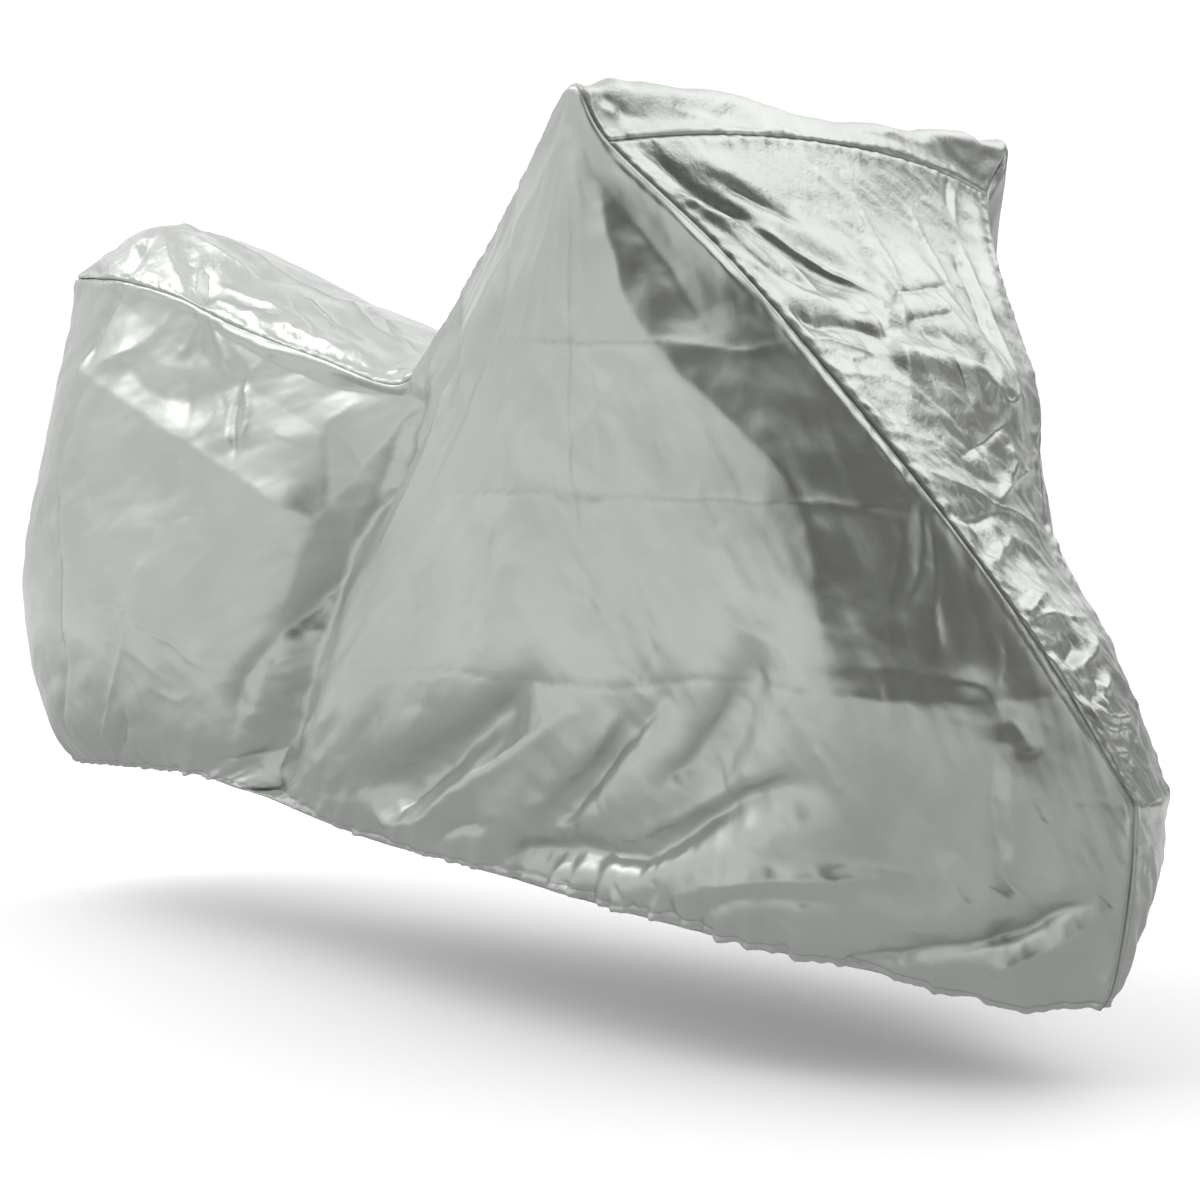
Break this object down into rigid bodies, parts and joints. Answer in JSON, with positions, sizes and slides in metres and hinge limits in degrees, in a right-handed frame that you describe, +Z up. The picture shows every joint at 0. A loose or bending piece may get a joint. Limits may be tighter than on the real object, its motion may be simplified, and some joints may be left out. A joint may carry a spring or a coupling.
{
  "type": "motorcycle cover",
  "caption": "Hollow fitted dust cover of thin silver coated cloth, draped as over a parked motorcycle, with a saddle dip, two pointed upper corners and a gathered elastic hem.",
  "frame": {"origin": "close under the top, midway between the two upper front corners, where what is covered holds the cloth up", "axes": "+X from the tail towards the nose, +Y to the cover's left, +Z up"},
  "size_m": [2.0056, 0.771, 1.0708],
  "materials": {
    "silver_cloth": "smooth coated taffeta with a soft silver sheen"
  },
  "bodies": {
    "root": {"side_panel_right": "silver_cloth", "side_panel_left": "silver_cloth", "top_panel": "silver_cloth", "front_panel": "silver_cloth"}
  },
  "joints": []
}
